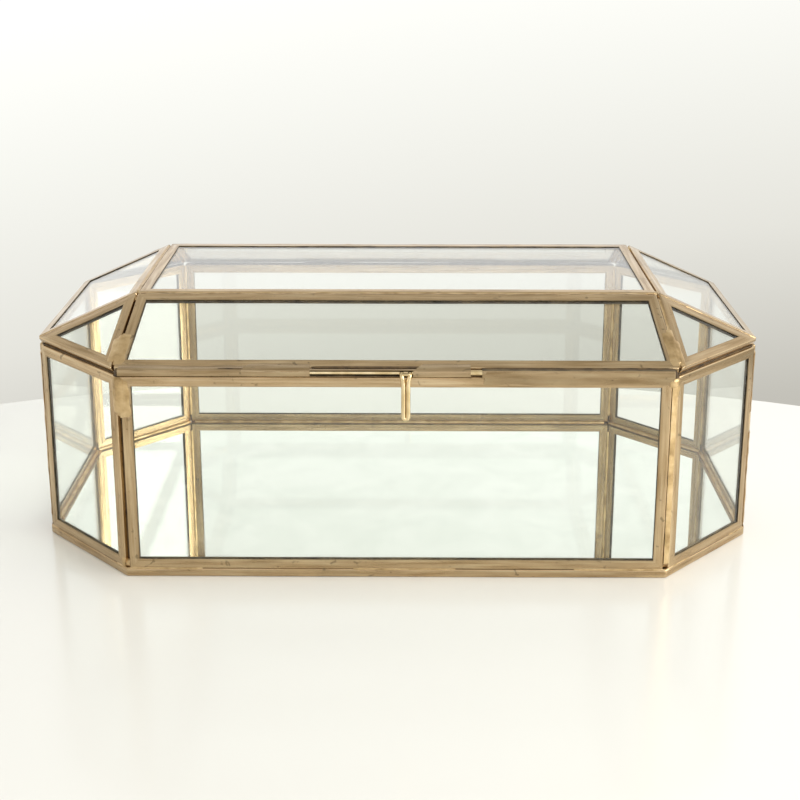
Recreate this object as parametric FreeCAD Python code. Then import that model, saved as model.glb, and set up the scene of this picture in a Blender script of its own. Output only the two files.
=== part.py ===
import FreeCAD, Part
import math
import os

# Jewelry box of clear glass panes held in brass channel. Millimetres, +Z up.
# Origin: middle of the underside. +X along the length, -Y is the front with the latch.
# An eight-sided tray with a mirror floor carries a hinged lid with a flat top.

V = FreeCAD.Vector

# Tray plan, measured to the inner faces of the walls
front_half = 90.0           # half the length of the front and back panels
length_half = 122.4         # middle of the box to a side panel
depth_half = 67.45          # middle of the box to the front and back panels
floor_height = 3.0          # mirror frame, which the walls stand on
rim_height = 71.5           # top of the walls

# Lid
parting_gap = 0.4           # between the rim and the lid's lower edge
lid_outset = 1.6            # lid edge outside the wall's inner face, all but the front
lid_front_outset = 0.0      # the front edge stays back to leave room for the latch strips
top_half_length = 89.5      # inner corners of the flat top panel
top_half_depth = 34.5
top_height = 87.6

# Brass channel and glass
sheet = 0.3                 # thickness of the brass sheet
pane = 2.0                  # thickness of the glass
channel = pane + 2 * sheet  # thickness of a framed panel
flange = 3.5                # width of brass seen round each pane
edge_play = 0.2             # pane edge to channel web
floor_flange = 4.2          # width of the mirror frame's flanges
backing = 0.4               # painted coat under the mirror

# Solder seams
seam_fill = 0.8             # part of an outer groove that is filled
seam_end = 3.0              # length of ridge left open at each end
fillet = 0.8                # bead along the foot of each wall

# Latch: a wire bolt that slides along the front edge
bolt_radius = 0.85
bolt_play = 0.05
bolt_left = -57.0
bolt_right = 38.0
bolt_height = 73.1
strip_front = 71.3          # front face of both strips, in front of the middle
strip_depth = 2 * (bolt_radius + bolt_play + sheet)
guide_left = -89.0
guide_right = 24.2
window_left = -28.0
window_right = 5.6
keeper_left = 28.0
keeper_right = 89.0
keeper_top = 74.2

# Thumb tab: a hairpin of wire hung from the bolt
tab_middle = 3.2
tab_leg_radius = 0.75
tab_leg_spacing = 1.6
tab_length = 15.6
tab_gap = 0.25              # tab to strip

# Hinge: three knuckles on one wire pin
hinge_y = 71.75
hinge_z = 73.6
knuckle_radius = 1.3
pin_radius = 0.65
pin_play = 0.05
pin_grip = 0.02             # in the tray's own knuckles
knuckle_gap = 0.3
lid_knuckle_half = 20.2
hinge_half = 40.5
pin_overhang = 0.8
leaf = 0.4
leaf_length = 3.4

side_names = ["front", "front_right", "right", "back_right", "back", "back_left", "left", "front_left"]


def octagon(outset, front_outset, z):
    """Corners of the eight-sided plan, moved outwards, starting at the front panel's left end."""
    corner_distance = (front_half + depth_half) / math.sqrt(2)
    distances = {0: depth_half, 1: corner_distance, 2: length_half, 3: corner_distance,
                 4: depth_half, 5: corner_distance, 6: length_half, 7: corner_distance}
    lines = []
    for side in range(8):
        angle = math.radians(-90 + 45 * side)
        grow = front_outset if side == 0 else outset
        lines.append((math.cos(angle), math.sin(angle), distances[side] + grow))
    points = []
    for side in range(8):
        a, b, c = lines[side - 1]
        d, e, f = lines[side]
        span = a * e - b * d
        points.append(V((c * e - b * f) / span, (a * f - c * d) / span, z))
    return points


def face_normal(points):
    """Unit normal of a flat panel, pointing away from the middle of the box."""
    normal = (points[1] - points[0]).cross(points[2] - points[0])
    normal.normalize()
    middle = sum(points, V(0, 0, 0)) * (1.0 / len(points))
    if normal.dot(middle - V(0, 0, rim_height / 2)) < 0:
        normal = normal * -1
    return normal


def shrink(points, distance):
    """The same flat outline with every edge moved inwards by one distance."""
    normal = (points[1] - points[0]).cross(points[2] - points[0])
    normal.normalize()
    inner = []
    for i, corner in enumerate(points):
        before = corner - points[i - 1]
        after = points[(i + 1) % len(points)] - corner
        before.normalize()
        after.normalize()
        inward_before = normal.cross(before)
        inward_after = normal.cross(after)
        reach = distance / (1 + inward_before.dot(inward_after))
        inner.append(corner + (inward_before + inward_after) * reach)
    return inner


def prism(points, direction):
    """Solid swept from a flat outline along a vector."""
    outline = Part.makePolygon(list(points) + [points[0]])
    return Part.Face(outline).extrude(direction)


def slab(points, normal, low, high):
    """Solid between two heights above a flat outline."""
    moved = [p + normal * low for p in points]
    return prism(moved, normal * (high - low))


def channel_frame(points, normal, thickness, width):
    """U-channel bent round an outline, open towards the pane."""
    ring = slab(points, normal, 0, thickness)
    opening = slab(shrink(points, width), normal, -1, thickness + 1)
    groove = slab(shrink(points, sheet), normal, sheet, thickness - sheet)
    return ring.cut(opening).cut(groove)


def glass_pane(points, normal):
    """Pane that fills the channel to just short of its web."""
    return slab(shrink(points, sheet + edge_play), normal, sheet, channel - sheet)


def groove_seam(start, end, normal_a, normal_b):
    """Solder in the outer groove between two panels that share an edge."""
    reach = channel * seam_fill
    outline = [start, start + normal_a * reach, start + normal_b * reach]
    return prism(outline, end - start)


def rod(radius, start, end):
    """Round bar between two points."""
    along = end - start
    return Part.makeCylinder(radius, along.Length, start, along)


def save(shape, name):
    shape.exportStep("parts/" + name + ".step")
    print(name, "valid" if shape.isValid() else "NOT VALID", round(shape.Volume, 2))


def wall_outlines():
    """Inner-face outline of each of the eight walls."""
    foot = octagon(0, 0, floor_height)
    rim = octagon(0, 0, rim_height)
    outlines = {}
    for i, name in enumerate(side_names):
        j = (i + 1) % 8
        outlines[name] = [foot[i], foot[j], rim[j], rim[i]]
    return outlines


def lid_top_corners():
    """Inner corners of the flat top panel, from the front left."""
    signs = [(-1, -1), (1, -1), (1, 1), (-1, 1)]
    return [V(sx * top_half_length, sy * top_half_depth, top_height) for sx, sy in signs]


def lid_outlines():
    """Inner-face outline of each of the nine lid panels: trapezoids on the sides, triangles between."""
    edge = octagon(lid_outset, lid_front_outset, rim_height + parting_gap)
    top = lid_top_corners()
    outlines = {}
    for i, name in enumerate(side_names):
        upper = [top[(i + 2) // 2 % 4], top[i // 2]] if i % 2 == 0 else [top[(i + 1) // 2 % 4]]
        outlines[name] = [edge[i], edge[(i + 1) % 8]] + upper
    outlines["top"] = top
    return outlines


def make_mirror_floor():
    """Mirror, its painted back and the frame that the walls stand on."""
    outline = octagon(channel, channel, 0)
    up = V(0, 0, 1)
    save(channel_frame(outline, up, floor_height, floor_flange), "mirror_frame")
    plate = shrink(outline, sheet + edge_play)
    save(slab(plate, up, sheet, sheet + backing), "mirror_backing")
    save(slab(plate, up, sheet + backing, floor_height - sheet), "mirror_plate")


def make_panels(outlines, part_name):
    """A channel frame and a glass pane for every panel of the walls or the lid."""
    for name, points in outlines.items():
        normal = face_normal(points)
        save(channel_frame(points, normal, channel, flange), part_name + "_frame_" + name)
        save(glass_pane(points, normal), part_name + "_glass_" + name)


def make_wall_solder(outlines):
    """Filled grooves of the eight upright corners. At the front four the lid's edge rests on them."""
    seams = []
    for i, name in enumerate(side_names):
        following = side_names[(i + 1) % 8]
        foot, rim = outlines[name][1], outlines[name][2]
        if rim.y < 0:
            rim = rim + V(0, 0, parting_gap)
        seams.append(groove_seam(foot, rim, face_normal(outlines[name]), face_normal(outlines[following])))
    save(Part.makeCompound(seams), "wall_solder")


def make_floor_solder(outlines):
    """Bead in the angle between each wall's foot and the mirror frame."""
    beads = []
    for points in outlines.values():
        inward = face_normal(points) * -fillet
        along = points[1] - points[0]
        along.normalize()
        start = points[0] + along * fillet
        end = points[1] - along * fillet
        beads.append(prism([start, start + inward, start + V(0, 0, fillet)], end - start))
    save(Part.makeCompound(beads), "floor_solder")


def make_lid_solder(outlines):
    """Filled grooves along the eight sloping ridges and the four edges of the flat top."""
    edge = octagon(lid_outset, lid_front_outset, rim_height + parting_gap)
    top = lid_top_corners()
    seams = []

    def ridge(start, end, name_a, name_b):
        along = end - start
        along.normalize()
        first = start + along * seam_end
        last = end - along * seam_end
        seams.append(groove_seam(first, last, face_normal(outlines[name_a]), face_normal(outlines[name_b])))

    for i, name in enumerate(side_names):
        j = (i + 1) % 8
        ridge(edge[j], top[(i + 2) // 2 % 4], name, side_names[j])
    for k in range(4):
        ridge(top[k], top[(k + 1) % 4], "top", side_names[2 * k])
    save(Part.makeCompound(seams), "lid_solder")


def latch_strip(left, right, low, high):
    """Square tube for the bolt along the front edge."""
    bore = 2 * (bolt_radius + bolt_play)
    tube = Part.makeBox(right - left, strip_depth, high - low, V(left, -strip_front, low))
    hole = Part.makeBox(right - left + 2, bore, bore, V(left - 1, -strip_front + sheet, bolt_height - bore / 2))
    return tube.cut(hole)


def make_latch_strips():
    """Guide on the lid, with a window for the tab, and keeper on the tray's rim."""
    low = rim_height + parting_gap
    high = bolt_height + bolt_radius + bolt_play + sheet
    guide = latch_strip(guide_left, guide_right, low, high)
    window_depth = strip_depth - sheet
    window = Part.makeBox(window_right - window_left, window_depth, high - low - sheet,
                          V(window_left, -strip_front, low))
    save(guide.cut(window), "guide_strip")
    save(latch_strip(keeper_left, keeper_right, rim_height, keeper_top), "keeper_strip")


def make_guide_solder(outlines):
    """Wedge of solder that holds the guide strip to the lid's front frame."""
    points = outlines["front"]
    normal = face_normal(points)
    web_foot = V(0, points[0].y, points[0].z)
    web_top = web_foot + normal * channel
    back = -(strip_front - strip_depth)
    profile = [V(0, back, web_foot.z), web_foot, web_top, V(0, back, web_top.z)]
    placed = [p + V(guide_left, 0, 0) for p in profile]
    save(prism(placed, V(guide_right - guide_left, 0, 0)), "guide_solder")


def make_bolt():
    """Wire bolt, latched, with the hairpin tab that slides it."""
    bolt_y = -(strip_front - sheet - bolt_play - bolt_radius)
    left = V(bolt_left, bolt_y, bolt_height)
    right = V(bolt_right, bolt_y, bolt_height)
    bolt = rod(bolt_radius, left, right)
    save(bolt, "latch_bolt")

    tab_y = -(strip_front + tab_gap + tab_leg_radius)
    half = tab_leg_spacing / 2
    low = bolt_height - tab_length + half + tab_leg_radius
    pieces = []
    for side in (-1, 1):
        x = tab_middle + side * half
        pieces.append(rod(tab_leg_radius, V(x, tab_y, bolt_height), V(x, tab_y, low)))
        pieces.append(Part.makeSphere(tab_leg_radius, V(x, tab_y, bolt_height)))
        pieces.append(rod(tab_leg_radius, V(x, tab_y, bolt_height), V(x, bolt_y, bolt_height)))
    loop = Part.makeTorus(half, tab_leg_radius, V(tab_middle, tab_y, low), V(0, 1, 0))
    lower_half = Part.makeBox(6, 6, 3, V(tab_middle - 3, tab_y - 3, low - 3))
    tab = pieces[0].multiFuse(pieces[1:] + [loop.common(lower_half)])
    save(tab.cut(bolt).removeSplitter(), "thumb_tab")


def make_tray_knuckles():
    """Two outer knuckles, each on a leaf that is soldered to the back of the tray."""
    wall = depth_half + channel
    outline = [V(0, wall, hinge_z - 5.6), V(0, wall + leaf, hinge_z - 5.6), V(0, wall + leaf, hinge_z - 2.2),
               V(0, hinge_y, hinge_z - knuckle_radius + 0.1), V(0, hinge_y, hinge_z),
               V(0, hinge_y - 1, hinge_z), V(0, wall, hinge_z - 1)]
    start = lid_knuckle_half + knuckle_gap
    span = hinge_half - start
    for name, left in (("left", -hinge_half), ("right", start)):
        near = V(left, hinge_y, hinge_z)
        far = near + V(span, 0, 0)
        strap = prism([p + V(left, 0, 0) for p in outline], V(span, 0, 0))
        knuckle = strap.fuse(rod(knuckle_radius, near, far))
        knuckle = knuckle.cut(rod(pin_radius + pin_grip, near - V(1, 0, 0), far + V(1, 0, 0)))
        save(knuckle.removeSplitter(), "tray_knuckle_" + name)


def make_lid_knuckle(outlines):
    """Middle knuckle on a leaf that lies on the lid's back frame."""
    points = outlines["back"]
    normal = face_normal(points)
    upslope = V(0, points[2].y - points[0].y, points[2].z - points[0].z)
    upslope.normalize()
    outer_edge = V(-lid_knuckle_half, points[0].y, points[0].z) + normal * channel
    axis = V(-lid_knuckle_half, hinge_y, hinge_z)
    reach = (axis - outer_edge).dot(upslope)
    near = outer_edge + upslope * reach
    far = outer_edge + upslope * leaf_length
    width = V(2 * lid_knuckle_half, 0, 0)
    strap = prism([near, far, far + normal * leaf, near + normal * leaf], width)
    knuckle = strap.fuse(rod(knuckle_radius, axis, axis + width))
    hole = rod(pin_radius + pin_play, axis - V(1, 0, 0), axis + width + V(1, 0, 0))
    save(knuckle.cut(hole).removeSplitter(), "lid_knuckle")


def make_hinge_pin():
    """Wire through all three knuckles."""
    reach = hinge_half + pin_overhang
    save(rod(pin_radius, V(-reach, hinge_y, hinge_z), V(reach, hinge_y, hinge_z)), "hinge_pin")


def lid_swing_limit(outlines):
    """Degrees that the lid turns about its pin before it meets the table behind the tray."""
    corners = [p + face_normal(points) * channel for points in outlines.values() for p in points]
    corners.append(V(0, -strip_front, bolt_height + strip_depth / 2))
    angles = []
    for corner in corners:
        ahead = hinge_y - corner.y
        above = corner.z - hinge_z
        radius = math.hypot(ahead, above)
        if radius > hinge_z:
            angles.append(180 + math.degrees(math.asin(hinge_z / radius) - math.atan2(above, ahead)))
    return min(angles)


os.makedirs("parts", exist_ok=True)
walls = wall_outlines()
lid = lid_outlines()
make_mirror_floor()
make_panels(walls, "wall")
make_wall_solder(walls)
make_floor_solder(walls)
make_panels(lid, "lid")
make_lid_solder(lid)
make_latch_strips()
make_guide_solder(lid)
make_bolt()
make_tray_knuckles()
make_lid_knuckle(lid)
make_hinge_pin()
print("lid meets the table at", round(lid_swing_limit(lid), 1), "degrees")
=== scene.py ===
import bpy
import bmesh
import math
from mathutils import Matrix, Quaternion, Vector, noise


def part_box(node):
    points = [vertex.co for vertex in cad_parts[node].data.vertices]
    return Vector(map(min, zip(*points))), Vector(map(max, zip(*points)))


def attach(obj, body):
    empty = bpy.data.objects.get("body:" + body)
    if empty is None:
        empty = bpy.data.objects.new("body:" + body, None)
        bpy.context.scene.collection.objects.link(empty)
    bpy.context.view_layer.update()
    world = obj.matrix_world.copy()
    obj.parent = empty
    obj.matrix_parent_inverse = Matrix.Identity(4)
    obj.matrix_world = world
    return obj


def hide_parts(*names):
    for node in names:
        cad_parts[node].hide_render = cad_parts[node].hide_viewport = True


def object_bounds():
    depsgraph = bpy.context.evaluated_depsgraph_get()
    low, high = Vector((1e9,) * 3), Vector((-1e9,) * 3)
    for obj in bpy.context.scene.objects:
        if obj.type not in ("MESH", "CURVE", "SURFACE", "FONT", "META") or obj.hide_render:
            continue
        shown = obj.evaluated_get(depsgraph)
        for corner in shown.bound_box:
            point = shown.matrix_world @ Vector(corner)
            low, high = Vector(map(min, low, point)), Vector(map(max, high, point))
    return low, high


# Jewelry box of glass panes in antique brass channel: handmade frames, solder, latch and hinge.
# Metres, +Z up, the latch faces -Y.

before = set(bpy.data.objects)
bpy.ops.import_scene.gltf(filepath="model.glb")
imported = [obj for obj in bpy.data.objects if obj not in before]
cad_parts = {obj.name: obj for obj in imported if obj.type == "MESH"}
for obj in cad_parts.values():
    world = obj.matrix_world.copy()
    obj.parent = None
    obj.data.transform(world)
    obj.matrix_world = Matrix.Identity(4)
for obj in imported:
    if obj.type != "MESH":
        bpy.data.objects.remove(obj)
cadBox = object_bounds()
mm = 0.001
noise.seed_set(5)          # without a seed the unevenness would be new on every run
sideNames = ["front", "front_right", "right", "back_right", "back", "back_left", "left", "front_left"]
print("frame loaded,", len(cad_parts), "nodes")


# small tools

def toLinear(hexColour):
    # sRGB hex to the linear colour that the shaders take
    parts = [int(hexColour[i:i + 2], 16) / 255 for i in (1, 3, 5)]
    return [c / 12.92 if c <= 0.04045 else ((c + 0.055) / 1.055) ** 2.4 for c in parts] + [1.0]


def addNode(tree, kind, settings=None, links=None):
    # one node, its values by socket or property name, and its incoming links
    made = tree.nodes.new("ShaderNode" + kind)
    for key, value in (settings or {}).items():
        if isinstance(key, int) or key in made.inputs:
            made.inputs[key].default_value = value
        else:
            setattr(made, key, value)
    for key, source in (links or {}).items():
        tree.links.new(source, made.inputs[key])
    return made


def startMaterial(name):
    made = bpy.data.materials.new(name)
    made.use_nodes = True
    made.node_tree.nodes.clear()
    return made, made.node_tree


def fillRamp(ramp, stops):
    # stops are (place, hex colour) or (place, grey level)
    elements = ramp.color_ramp.elements
    while len(elements) < len(stops):
        elements.new(0.5)
    for element, (place, value) in zip(elements, stops):
        element.position = place
        element.color = toLinear(value) if isinstance(value, str) else (value, value, value, 1)


def finishMesh(bm, name, materials, body, stands=(), smoothAngle=40):
    # a bmesh becomes a piece that rides on a body; nothing may stand outside the fixed outline
    for vert in bm.verts:
        vert.co = [min(max(vert.co[i], cadBox[0][i]), cadBox[1][i]) for i in range(3)]
    mesh = bpy.data.meshes.new(name)
    bm.to_mesh(mesh)
    bm.free()
    for material in materials:
        mesh.materials.append(material)
    mesh.shade_smooth()
    mesh.set_sharp_from_angle(angle=math.radians(smoothAngle))
    piece = bpy.data.objects.new(name, mesh)
    bpy.context.scene.collection.objects.link(piece)
    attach(piece, body)
    if stands:
        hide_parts(*stands)
    return piece


def movedVerts(made):
    return [v for v in made["geom"] if isinstance(v, bmesh.types.BMVert)]


def madeFaces(made):
    return [f for f in made["geom"] if isinstance(f, bmesh.types.BMFace)]


def rubAlong(bm, direction, acrossStart):
    # rubbing marks run along a straight piece: u is the way along it and v the way round it
    layer = bm.loops.layers.uv.get("barRun") or bm.loops.layers.uv.new("barRun")
    for face in bm.faces:
        for loop in face.loops:
            p = loop.vert.co
            u = p.dot(direction)
            loop[layer].uv = (u, acrossStart + (p - direction * u).dot(Vector((0.61, 0.53, 0.59))))


def outwardNormal(corners):
    # unit normal of a flat panel, away from the middle of the box
    normal = (corners[1] - corners[0]).cross(corners[2] - corners[0]).normalized()
    middle = sum(corners, Vector()) / len(corners)
    inside = Vector((0, 0, 0.04))
    return normal if normal.dot(middle - inside) > 0 else -normal


# materials

brassLook = {
    "base": "#C3A983",          # antique brass, brown under the cloth's shine
    "dark": "#A58A64",          # patina that the cloth left
    "pale": "#D6C09B",          # rubbed high spots
    "roughness": (0.16, 0.32),
    "streak": (24 * mm, 1.3 * mm),     # length and width of the broad marks
    "scratch": (5 * mm, 0.32 * mm),    # of the fine ones, twice as coarse as real so that they show
    "patchSize": 16 * mm,
    "spotSize": 3 * mm,                # stray spots of flux and tarnish
}


def markNoise(tree, uv, size, detail):
    # noise drawn out along the bar
    stretched = addNode(tree, "Mapping", {"Scale": (1 / size[0], 1 / size[1], 1)}, {"Vector": uv})
    return addNode(tree, "TexNoise", {"Scale": 1.0, "Detail": detail, "Roughness": 0.6},
                   {"Vector": stretched.outputs["Vector"]}).outputs["Fac"]


def blendColour(tree, kind, factor, first, second):
    # factor is a number or a link
    node = addNode(tree, "Mix", {"data_type": "RGBA", "blend_type": kind}, {6: first, 7: second})
    if isinstance(factor, float):
        node.inputs[0].default_value = factor
    else:
        tree.links.new(factor, node.inputs[0])
    return node.outputs[2]


def antiqueBrass():
    # brass channel, patinated and rubbed back: warm tan, streaked along each bar, with a painted highlight
    # along the folds and painted shade on the channel's edges and beside the panes
    material, tree = startMaterial("antiqueBrassRubbedPaintedLight")
    look = brassLook
    bar = addNode(tree, "UVMap", {"uv_map": "barRun"})
    place = addNode(tree, "TexCoord")
    streak = markNoise(tree, bar.outputs["UV"], look["streak"], 1.5)
    scratch = markNoise(tree, bar.outputs["UV"], look["scratch"], 2.0)
    patch = addNode(tree, "TexNoise", {"Scale": 1 / look["patchSize"], "Detail": 3.0, "Roughness": 0.55},
                    {"Vector": place.outputs["Object"]})
    tone = addNode(tree, "ValToRGB", links={"Fac": streak})
    fillRamp(tone, [(0.24, look["dark"]), (0.50, look["base"]), (0.76, look["pale"])])
    cloud = addNode(tree, "ValToRGB", links={"Fac": patch.outputs["Fac"]})
    fillRamp(cloud, [(0.32, 0.80), (0.62, 1.0)])
    worn = blendColour(tree, "MULTIPLY", 0.7, tone.outputs["Color"], cloud.outputs["Color"])
    line = addNode(tree, "ValToRGB", links={"Fac": scratch})
    fillRamp(line, [(0.32, 0.78), (0.52, 1.0)])
    lined = blendColour(tree, "MULTIPLY", 0.35, worn, line.outputs["Color"])
    speck = addNode(tree, "TexNoise", {"Scale": 1 / look["spotSize"], "Detail": 2.0, "Distortion": 0.6},
                    {"Vector": place.outputs["Object"]})
    spot = addNode(tree, "ValToRGB", links={"Fac": speck.outputs["Fac"]})
    fillRamp(spot, [(0.0, 1.0), (0.66, 1.0), (0.72, 0.5)])
    spotted = blendColour(tree, "MULTIPLY", 0.8, lined, spot.outputs["Color"])

    # across a bar, painted light and shade: a painted highlight along the folds, painted shade on the
    # channel's edge where it faces the groove between panels, and painted shade on the flange beside the
    # pane
    split = addNode(tree, "SeparateXYZ", links={"Vector": bar.outputs["UV"]})
    span = addNode(tree, "MapRange", {"From Min": 0.0, "From Max": 6.1 * mm}, {"Value": split.outputs["Y"]})
    reach = addNode(tree, "ValToRGB", links={"Fac": span.outputs["Result"]})
    fillRamp(reach, [(0.0, 1.0), (0.30, 0.84), (0.43, 1.0), (0.52, 0.95), (0.92, 0.93), (1.0, 0.72)])
    # the painted highlight and shade across the bar are multiplied into the colour here
    colour = blendColour(tree, "MULTIPLY", 0.8, spotted, reach.outputs["Color"])
    sheen = addNode(tree, "MapRange", {"From Min": 0.3, "From Max": 0.7, "To Min": look["roughness"][1],
                    "To Max": look["roughness"][0]}, {"Value": streak})
    bump = addNode(tree, "Bump", {"Strength": 0.12, "Distance": 0.05 * mm}, {"Height": scratch})
    shader = addNode(tree, "BsdfPrincipled", {"Metallic": 1.0},
                     {"Base Color": colour, "Roughness": sheen.outputs["Result"],
                      "Normal": bump.outputs["Normal"]})
    addNode(tree, "OutputMaterial", links={"Surface": shader.outputs["BSDF"]})
    return material


def channelOxideAndShade():
    # inside of the channel, never rubbed: brown-black oxide that shows as a dark line beside the panes; the
    # same material is laid as painted shade on the back rim's top and the keeper's top, under the lid
    material, tree = startMaterial("brassOxideAndPaintedShade")
    place = addNode(tree, "TexCoord")
    patch = addNode(tree, "TexNoise", {"Scale": 1 / (5 * mm), "Detail": 3.0},
                    {"Vector": place.outputs["Object"]})
    tone = addNode(tree, "ValToRGB", links={"Fac": patch.outputs["Fac"]})
    fillRamp(tone, [(0.35, "#4C4233"), (0.65, "#7D6D52")])
    shader = addNode(tree, "BsdfPrincipled", {"Metallic": 0.6, "Roughness": 0.6},
                     {"Base Color": tone.outputs["Color"]})
    addNode(tree, "OutputMaterial", links={"Surface": shader.outputs["BSDF"]})
    return material


def giltSolder():
    # soft solder run by hand and gilded with the brass: lumpy, a little pinker and duller
    material, tree = startMaterial("giltSolderRun")
    place = addNode(tree, "TexCoord")
    patch = addNode(tree, "TexNoise", {"Scale": 1 / (6 * mm), "Detail": 5.0, "Roughness": 0.6},
                    {"Vector": place.outputs["Object"]})
    tone = addNode(tree, "ValToRGB", links={"Fac": patch.outputs["Fac"]})
    fillRamp(tone, [(0.30, "#9A8058"), (0.48, "#C2A67A"), (0.7, "#DAC196")])
    lumps = addNode(tree, "TexNoise", {"Scale": 1 / (1.6 * mm), "Detail": 4.0, "Roughness": 0.55},
                    {"Vector": place.outputs["Object"]})
    bump = addNode(tree, "Bump", {"Strength": 0.5, "Distance": 0.25 * mm}, {"Height": lumps.outputs["Fac"]})
    sheen = addNode(tree, "MapRange", {"From Min": 0.3, "From Max": 0.7, "To Min": 0.44, "To Max": 0.28},
                    {"Value": lumps.outputs["Fac"]})
    shader = addNode(tree, "BsdfPrincipled", {"Metallic": 1.0},
                     {"Base Color": tone.outputs["Color"], "Roughness": sheen.outputs["Result"],
                      "Normal": bump.outputs["Normal"]})
    addNode(tree, "OutputMaterial", links={"Surface": shader.outputs["BSDF"]})
    return material


def grooveFluxAndShade():
    # root of a groove that the solder missed: dark brown flux and oxide; the same material is laid as
    # painted shade in the rim's parting line, at the rim's front corners and in the gaps above the guide
    # and the keeper
    material, tree = startMaterial("grooveFluxAndPaintedShade")
    place = addNode(tree, "TexCoord")
    patch = addNode(tree, "TexNoise", {"Scale": 1 / (3 * mm), "Detail": 4.0},
                    {"Vector": place.outputs["Object"]})
    tone = addNode(tree, "ValToRGB", links={"Fac": patch.outputs["Fac"]})
    fillRamp(tone, [(0.30, "#3D3022"), (0.70, "#6E5839")])
    shader = addNode(tree, "BsdfPrincipled", {"Metallic": 0.5, "Roughness": 0.55},
                     {"Base Color": tone.outputs["Color"]})
    addNode(tree, "OutputMaterial", links={"Surface": shader.outputs["BSDF"]})
    return material


def drawnWire():
    # drawn brass wire, kept bright by fingers: yellower and shinier than the frames, faint draw lines
    material, tree = startMaterial("drawnBrassWire")
    place = addNode(tree, "TexCoord")
    patch = addNode(tree, "TexNoise", {"Scale": 1 / (4 * mm), "Detail": 3.0},
                    {"Vector": place.outputs["Object"]})
    tone = addNode(tree, "ValToRGB", links={"Fac": patch.outputs["Fac"]})
    fillRamp(tone, [(0.35, "#CFB789"), (0.65, "#E8D4AC")])
    fine = addNode(tree, "TexNoise", {"Scale": 1 / (0.3 * mm), "Detail": 2.0},
                   {"Vector": place.outputs["Object"]})
    bump = addNode(tree, "Bump", {"Strength": 0.12, "Distance": 0.04 * mm}, {"Height": fine.outputs["Fac"]})
    sheen = addNode(tree, "MapRange", {"From Min": 0.3, "From Max": 0.7, "To Min": 0.22, "To Max": 0.12},
                    {"Value": patch.outputs["Fac"]})
    shader = addNode(tree, "BsdfPrincipled", {"Metallic": 1.0},
                     {"Base Color": tone.outputs["Color"], "Roughness": sheen.outputs["Result"],
                      "Normal": bump.outputs["Normal"]})
    addNode(tree, "OutputMaterial", links={"Surface": shader.outputs["BSDF"]})
    return material


glassLook = {
    "tint": "#FAFCF9",          # 2 mm float glass: a breath of green
    "smearSize": 60 * mm,
    "waviness": 0.02,
}


def floatGlass():
    # clear float glass: sharp reflections with a slow ripple and a few wiping smears; lamps shine through
    material, tree = startMaterial("clearFloatGlass")
    look = glassLook
    place = addNode(tree, "TexCoord")
    ripple = addNode(tree, "TexNoise", {"Scale": 1 / look["smearSize"], "Detail": 1.0},
                     {"Vector": place.outputs["Object"]})
    smear = addNode(tree, "TexNoise", {"Scale": 1 / (9 * mm), "Detail": 5.0, "Distortion": 1.2},
                    {"Vector": place.outputs["Object"]})
    haze = addNode(tree, "MapRange", {"From Min": 0.55, "From Max": 0.8, "To Min": 0.0, "To Max": 0.05},
                   {"Value": smear.outputs["Fac"]})
    bump = addNode(tree, "Bump", {"Strength": look["waviness"], "Distance": 1 * mm},
                   {"Height": ripple.outputs["Fac"]})
    glass = addNode(tree, "BsdfPrincipled", {"Base Color": toLinear(look["tint"]), "IOR": 1.5,
                    "Transmission Weight": 1.0}, {"Roughness": haze.outputs["Result"],
                    "Normal": bump.outputs["Normal"]})
    clear = addNode(tree, "BsdfTransparent", {"Color": toLinear("#F6F9F5")})
    path = addNode(tree, "LightPath")
    both = addNode(tree, "MixShader", links={0: path.outputs["Is Shadow Ray"], 1: glass.outputs["BSDF"],
                   2: clear.outputs["BSDF"]})
    addNode(tree, "OutputMaterial", links={"Surface": both.outputs["Shader"]})
    return material


def silveredMirror():
    # mirror floor: silvered float glass, slightly mint, with dust and faint wiping marks
    material, tree = startMaterial("silveredFloatGlass")
    place = addNode(tree, "TexCoord")
    smear = addNode(tree, "TexNoise", {"Scale": 1 / (22 * mm), "Detail": 6.0, "Distortion": 0.8},
                    {"Vector": place.outputs["Object"]})
    tone = addNode(tree, "ValToRGB", links={"Fac": smear.outputs["Fac"]})
    fillRamp(tone, [(0.35, "#ECF0E9"), (0.65, "#F3F6F0")])
    haze = addNode(tree, "MapRange", {"From Min": 0.45, "From Max": 0.75, "To Min": 0.015, "To Max": 0.07},
                   {"Value": smear.outputs["Fac"]})
    shader = addNode(tree, "BsdfPrincipled", {"Metallic": 1.0},
                     {"Base Color": tone.outputs["Color"], "Roughness": haze.outputs["Result"]})
    addNode(tree, "OutputMaterial", links={"Surface": shader.outputs["BSDF"]})
    return material


def backingPaint():
    # protective paint rolled on the mirror's back: dull brown-grey, faint roller texture
    material, tree = startMaterial("mirrorBackPaint")
    place = addNode(tree, "TexCoord")
    roller = addNode(tree, "TexNoise", {"Scale": 1 / (1.5 * mm), "Detail": 4.0},
                     {"Vector": place.outputs["Object"]})
    tone = addNode(tree, "ValToRGB", links={"Fac": roller.outputs["Fac"]})
    fillRamp(tone, [(0.35, "#5A5048"), (0.65, "#6E6359")])
    bump = addNode(tree, "Bump", {"Strength": 0.3, "Distance": 0.08 * mm},
                   {"Height": roller.outputs["Fac"]})
    shader = addNode(tree, "BsdfPrincipled", {"Roughness": 0.62},
                     {"Base Color": tone.outputs["Color"], "Normal": bump.outputs["Normal"]})
    addNode(tree, "OutputMaterial", links={"Surface": shader.outputs["BSDF"]})
    return material


brass = antiqueBrass()
inside = channelOxideAndShade()
solder = giltSolder()
darkFluxShade = grooveFluxAndShade()
wire = drawnWire()
glass = floatGlass()
mirror = silveredMirror()
paint = backingPaint()
print("materials made")


# outlines, read from the frame

frontLow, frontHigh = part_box("wall_frame_front")
rightLow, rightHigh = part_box("wall_frame_right")
channel = frontHigh.y - frontLow.y          # thickness of a framed panel
floorTop = frontLow.z
rimTop = frontHigh.z


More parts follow.
